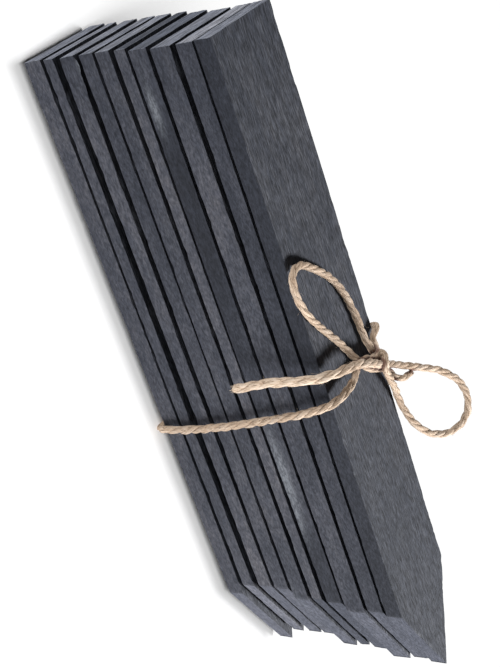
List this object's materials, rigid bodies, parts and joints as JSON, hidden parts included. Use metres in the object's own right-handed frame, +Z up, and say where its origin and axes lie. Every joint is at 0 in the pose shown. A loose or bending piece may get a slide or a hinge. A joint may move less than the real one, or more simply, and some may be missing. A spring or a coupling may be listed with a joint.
{
  "type": "charcoal stick bundle",
  "caption": "Flat charcoal-grey sticks, square at one end and pointed at the other, stacked face to face and tied with a jute twine bow.",
  "frame": {"origin": "under the middle of the bundle, level with the underside of the twine that it lies on", "axes": "+X along the sticks towards their points, +Y across the sticks' width towards the side where the bow is tied, +Z up through the stack"},
  "size_m": [0.1517, 0.0427, 0.0562],
  "materials": {
    "charcoal_grey": "matte",
    "jute": "matte"
  },
  "bodies": {
    "twine": {"twine_wrap": "jute", "twine_knot": "jute", "bow_loop_top": "jute", "bow_loop_outer": "jute", "twine_tail_long": "jute", "twine_tail_short": "jute"},
    "stick_01": {"stick_01": "charcoal_grey"},
    "stick_02": {"stick_02": "charcoal_grey"},
    "stick_03": {"stick_03": "charcoal_grey"},
    "stick_04": {"stick_04": "charcoal_grey"},
    "stick_05": {"stick_05": "charcoal_grey"},
    "stick_06": {"stick_06": "charcoal_grey"},
    "stick_07": {"stick_07": "charcoal_grey"},
    "stick_08": {"stick_08": "charcoal_grey"},
    "stick_09": {"stick_09": "charcoal_grey"},
    "stick_10": {"stick_10": "charcoal_grey"}
  },
  "joints": [
    {"name": "draw_stick_01", "type": "slide", "parent": "twine", "child": "stick_01", "axis": [1, 0, 0], "range_m": [-0.04, 0.07]},
    {"name": "draw_stick_02", "type": "slide", "parent": "twine", "child": "stick_02", "axis": [1, 0, 0], "range_m": [-0.04, 0.07]},
    {"name": "draw_stick_03", "type": "slide", "parent": "twine", "child": "stick_03", "axis": [1, 0, 0], "range_m": [-0.04, 0.07]},
    {"name": "draw_stick_04", "type": "slide", "parent": "twine", "child": "stick_04", "axis": [1, 0, 0], "range_m": [-0.04, 0.07]},
    {"name": "draw_stick_05", "type": "slide", "parent": "twine", "child": "stick_05", "axis": [1, 0, 0], "range_m": [-0.04, 0.07]},
    {"name": "draw_stick_06", "type": "slide", "parent": "twine", "child": "stick_06", "axis": [1, 0, 0], "range_m": [-0.04, 0.07]},
    {"name": "draw_stick_07", "type": "slide", "parent": "twine", "child": "stick_07", "axis": [1, 0, 0], "range_m": [-0.04, 0.07]},
    {"name": "draw_stick_08", "type": "slide", "parent": "twine", "child": "stick_08", "axis": [1, 0, 0], "range_m": [-0.04, 0.07]},
    {"name": "draw_stick_09", "type": "slide", "parent": "twine", "child": "stick_09", "axis": [1, 0, 0], "range_m": [-0.04, 0.07]},
    {"name": "draw_stick_10", "type": "slide", "parent": "twine", "child": "stick_10", "axis": [1, 0, 0], "range_m": [-0.04, 0.07]}
  ]
}
